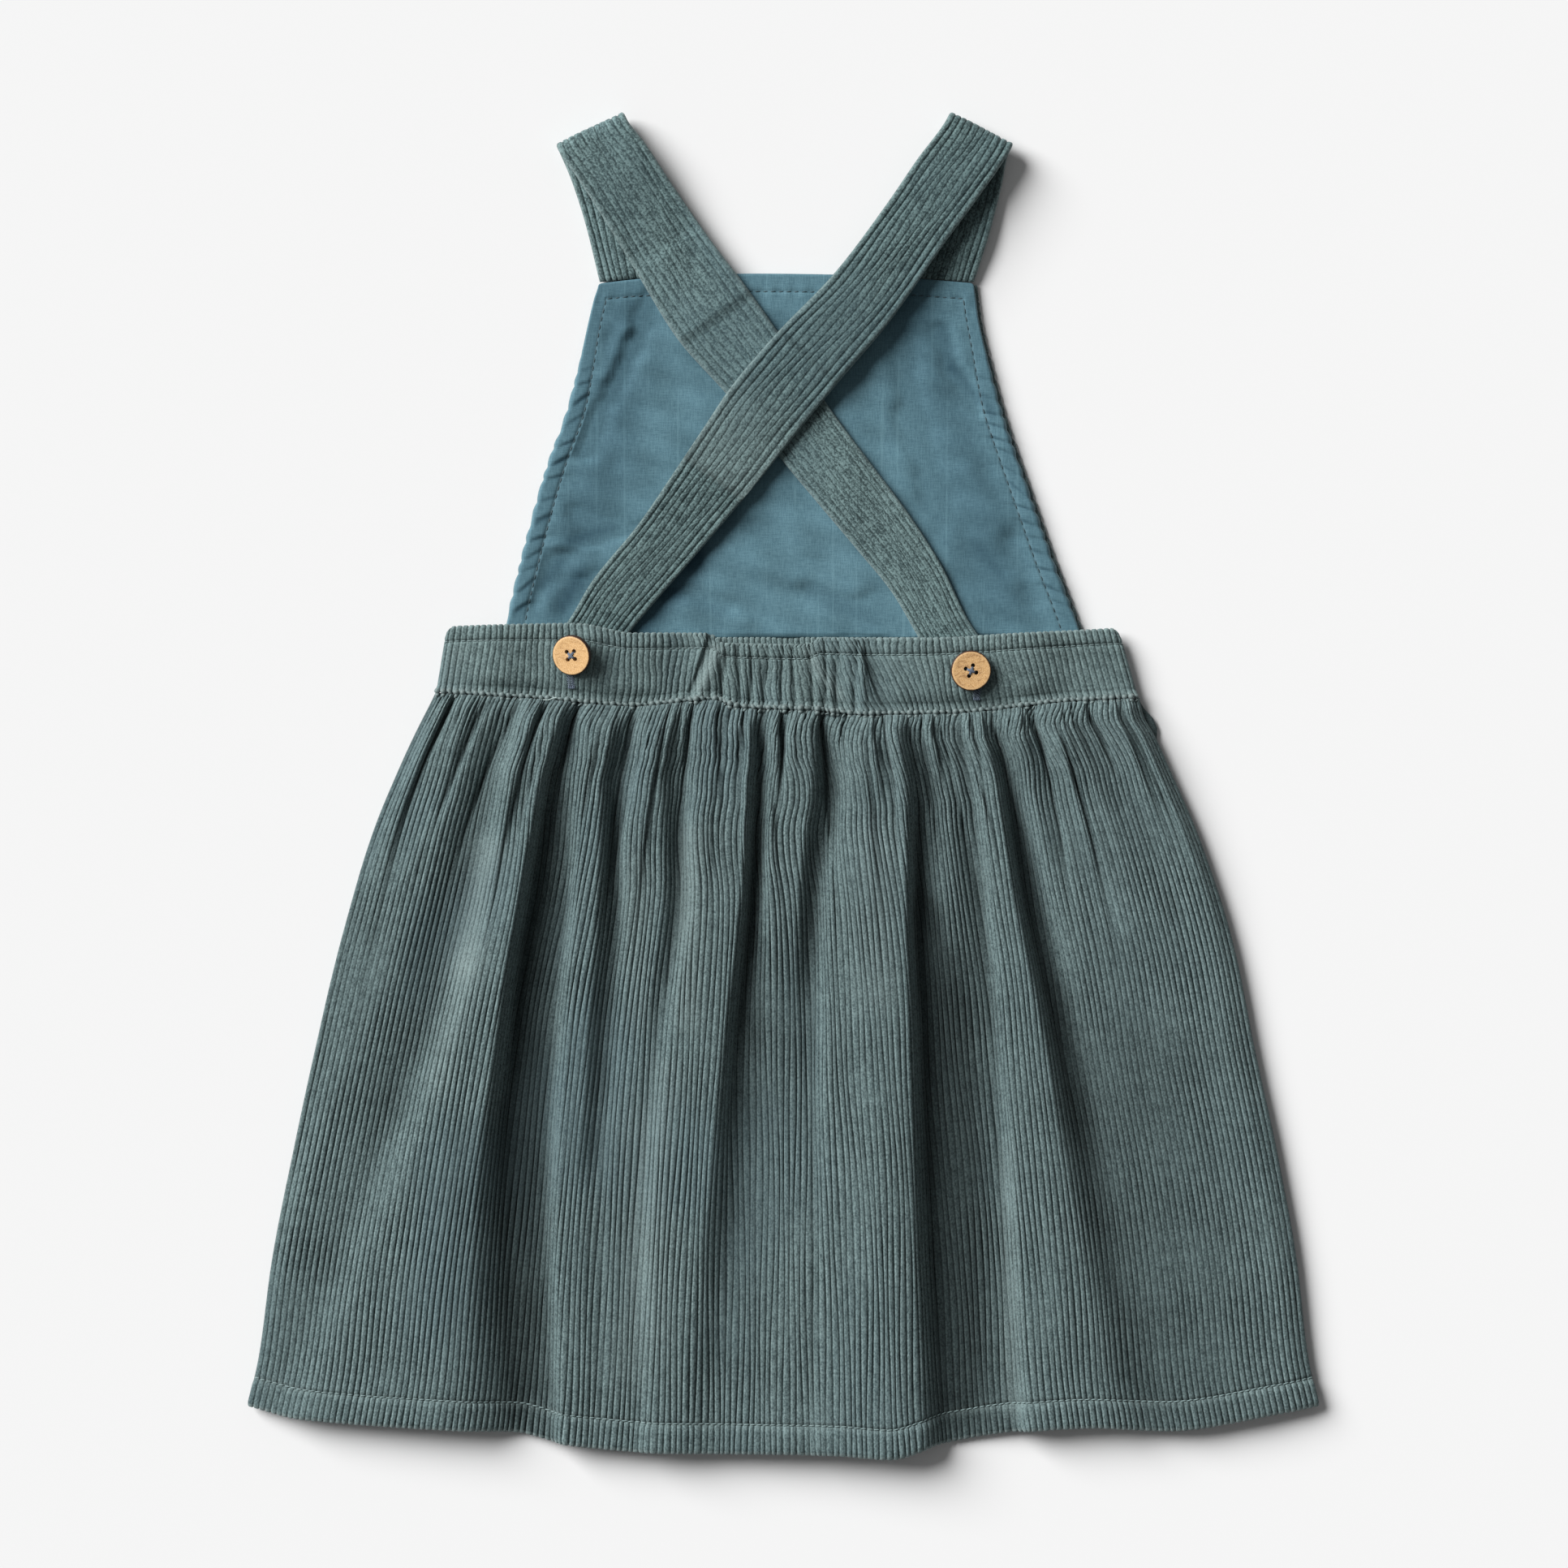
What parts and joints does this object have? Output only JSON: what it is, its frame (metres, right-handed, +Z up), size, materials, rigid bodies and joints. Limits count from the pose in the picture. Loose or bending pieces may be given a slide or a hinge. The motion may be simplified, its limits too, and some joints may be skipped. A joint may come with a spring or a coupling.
{
  "type": "pinafore dress",
  "caption": "Child's corduroy pinafore dress laid flat, back up: crossed buttoned straps, cotton-lined bib, elastic-backed waistband and gathered skirt.",
  "frame": {"origin": "middle of the laid dress's outline, on the surface it lies on", "axes": "+Y from the hem to the shoulders, +X to the right of the laid dress as seen from above, +Z up from the surface"},
  "size_m": [0.412, 0.5161, 0.0152],
  "materials": {
    "corduroy": "matt ribbed cotton corduroy, grey teal",
    "cotton_lining": "matt plain-weave cotton, petrol blue",
    "coconut": "satin coconut shell with darker flecks"
  },
  "bodies": {
    "root": {"skirt_front": "corduroy", "skirt_back": "corduroy", "waistband_front": "corduroy", "waistband_back": "corduroy", "bib_front": "corduroy", "bib_lining": "cotton_lining", "strap_left": "corduroy", "strap_right": "corduroy", "button_left": "coconut", "button_right": "coconut"}
  },
  "joints": []
}
